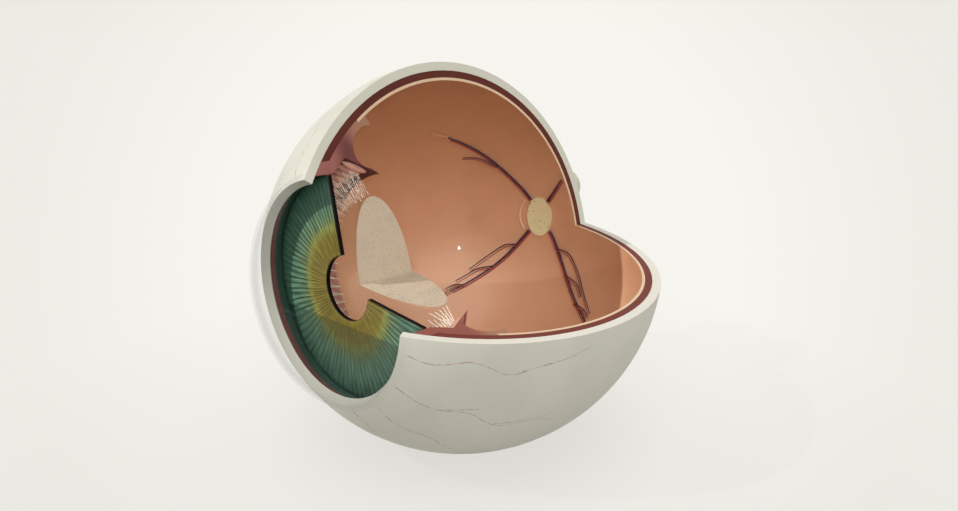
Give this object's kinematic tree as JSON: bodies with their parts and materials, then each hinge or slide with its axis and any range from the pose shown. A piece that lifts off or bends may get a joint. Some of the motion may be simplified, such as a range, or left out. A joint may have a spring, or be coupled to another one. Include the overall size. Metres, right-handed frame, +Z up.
{
  "type": "eye anatomy model",
  "caption": "Large take-apart eye model with a wedge cut out: layered wall, ciliary body with fibres, lens, iris, clear cornea, retina with vessels and an optic nerve stub.",
  "frame": {"origin": "middle of the flat under the eyeball, on the surface that the model stands on", "axes": "+Z up; X along the optical axis, with the cornea towards -X and the optic nerve towards +X; the wedge opens towards -Y and up"},
  "size_m": [0.1771, 0.1435, 0.1403],
  "materials": {
    "sclera": "moulded plastic, satin ivory white",
    "choroid": "dark red-brown moulded plastic",
    "retina": "orange-brown satin plastic",
    "ciliary_body": "mauve-brown plastic",
    "ciliary_processes": "salmon plastic",
    "fibres": "thin off-white fibre",
    "lens": "clear plastic with frosted cut faces",
    "iris": "green and olive, radially ribbed",
    "iris_pigment": "matt black",
    "cornea": "clear plastic",
    "optic_disc": "pale yellow plastic",
    "disc_margin": "pale raised line",
    "nerve": "pale yellow plastic",
    "sheath": "ivory plastic",
    "vein": "dark navy raised line",
    "artery": "dark red raised line"
  },
  "bodies": {
    "eyeball": {"sclera_shell": "sclera", "choroid_shell": "choroid", "retina_shell": "retina", "ciliary_body": "ciliary_body", "ciliary_processes": "ciliary_processes", "zonule_fibres": "fibres", "iris_stroma": "iris", "iris_pigment_layer": "iris_pigment", "optic_disc": "optic_disc", "disc_margin": "disc_margin", "optic_nerve": "nerve", "nerve_sheath": "sheath", "superior_nasal_vein": "vein", "superior_nasal_artery": "artery", "superior_temporal_vein": "vein", "superior_temporal_artery": "artery", "inferior_nasal_vein": "vein", "inferior_nasal_artery": "artery", "inferior_temporal_vein": "vein", "inferior_temporal_artery": "artery"},
    "cornea": {"cornea": "cornea"},
    "lens": {"lens": "lens"}
  },
  "joints": [
    {"name": "cornea_slide", "type": "slide", "parent": "eyeball", "child": "cornea", "axis": [-1, 0, 0], "range_m": [0, 0.04]},
    {"name": "lens_slide", "type": "slide", "parent": "eyeball", "child": "lens", "axis": [1, 0, 0], "range_m": [0, 0.028]}
  ]
}
